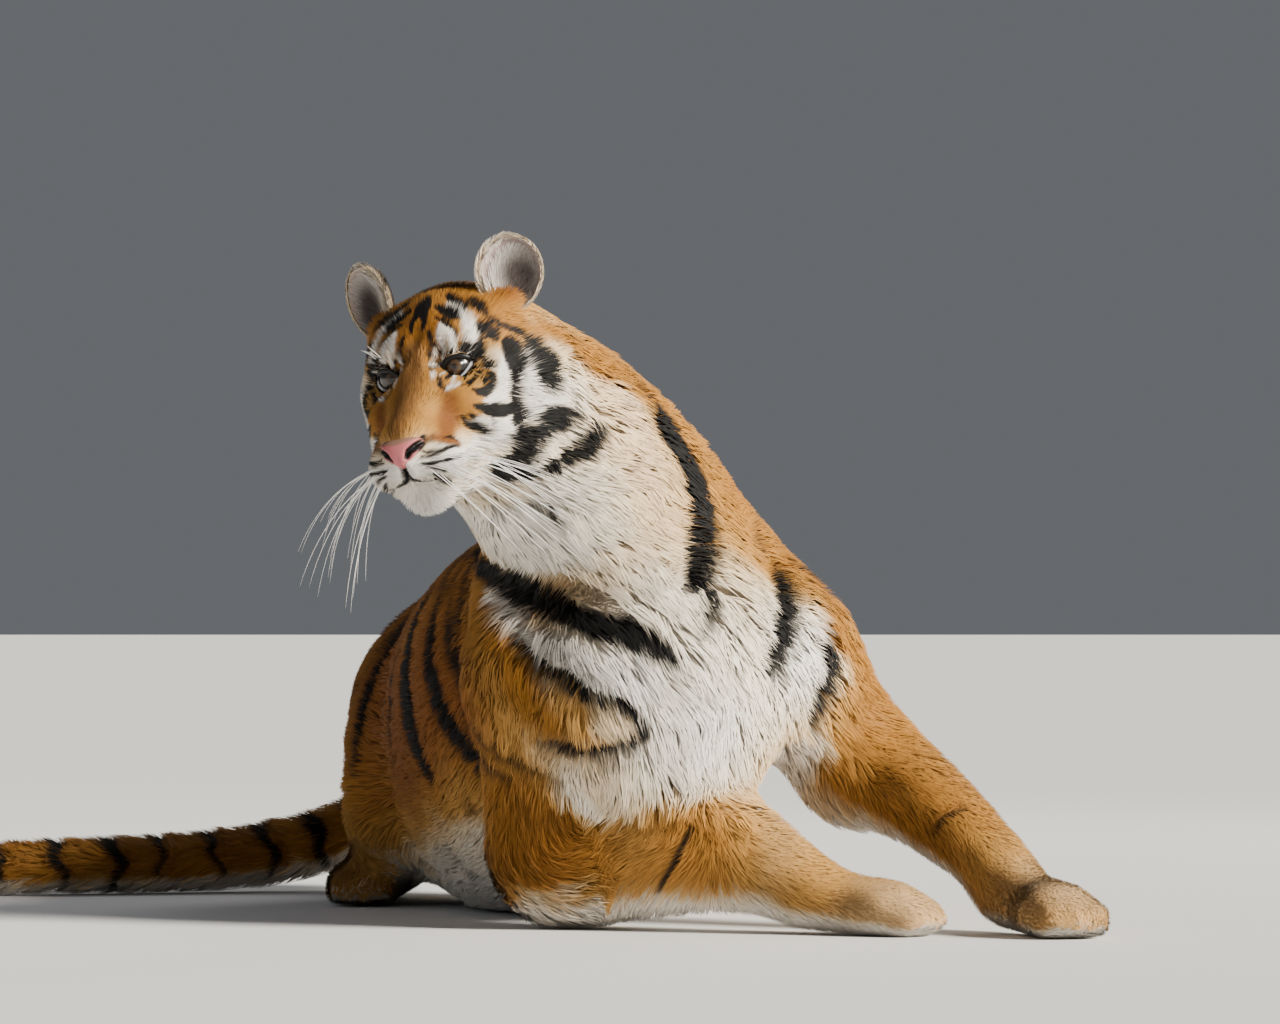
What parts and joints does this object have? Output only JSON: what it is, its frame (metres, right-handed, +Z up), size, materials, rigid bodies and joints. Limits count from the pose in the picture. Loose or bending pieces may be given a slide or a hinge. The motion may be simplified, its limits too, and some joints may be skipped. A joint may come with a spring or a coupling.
{
  "type": "siberian tiger",
  "caption": "Life-size Siberian tiger lying on its chest in winter coat, head turned to its right, forelegs reaching to its left, tail laid out behind.",
  "frame": {"origin": "centre of the bounding box's underside, on the ground the animal lies on", "axes": "+Z up; the animal faces roughly -Y with its tail end at +Y, and its left side is +X"},
  "size_m": [1.6016, 1.5862, 0.8318],
  "materials": {
    "gold_coat": "dense winter fur, orange with black stripes",
    "cream_coat": "long cream fur with black stripes",
    "nose_leather": "moist pink nose leather with dark edges",
    "amber_eye": "wet amber-brown eye with a round pupil"
  },
  "bodies": {
    "root": {"head": "gold_coat", "muzzle": "cream_coat", "nose": "nose_leather", "lower_jaw": "cream_coat", "left_ear": "cream_coat", "left_eye": "amber_eye", "right_ear": "cream_coat", "right_eye": "amber_eye", "neck": "cream_coat", "chest": "cream_coat", "belly": "gold_coat", "rump": "gold_coat", "tail_base": "gold_coat", "tail_middle": "gold_coat", "tail_end": "gold_coat", "tail_tip": "gold_coat", "right_upper_arm": "gold_coat", "right_forearm": "gold_coat", "right_forepaw": "gold_coat", "left_upper_arm": "gold_coat", "left_forearm": "gold_coat", "left_forepaw": "gold_coat", "right_thigh": "gold_coat", "right_shank": "gold_coat", "right_hindpaw": "gold_coat", "left_thigh": "gold_coat", "left_shank": "gold_coat", "left_hindpaw": "gold_coat"}
  },
  "joints": []
}
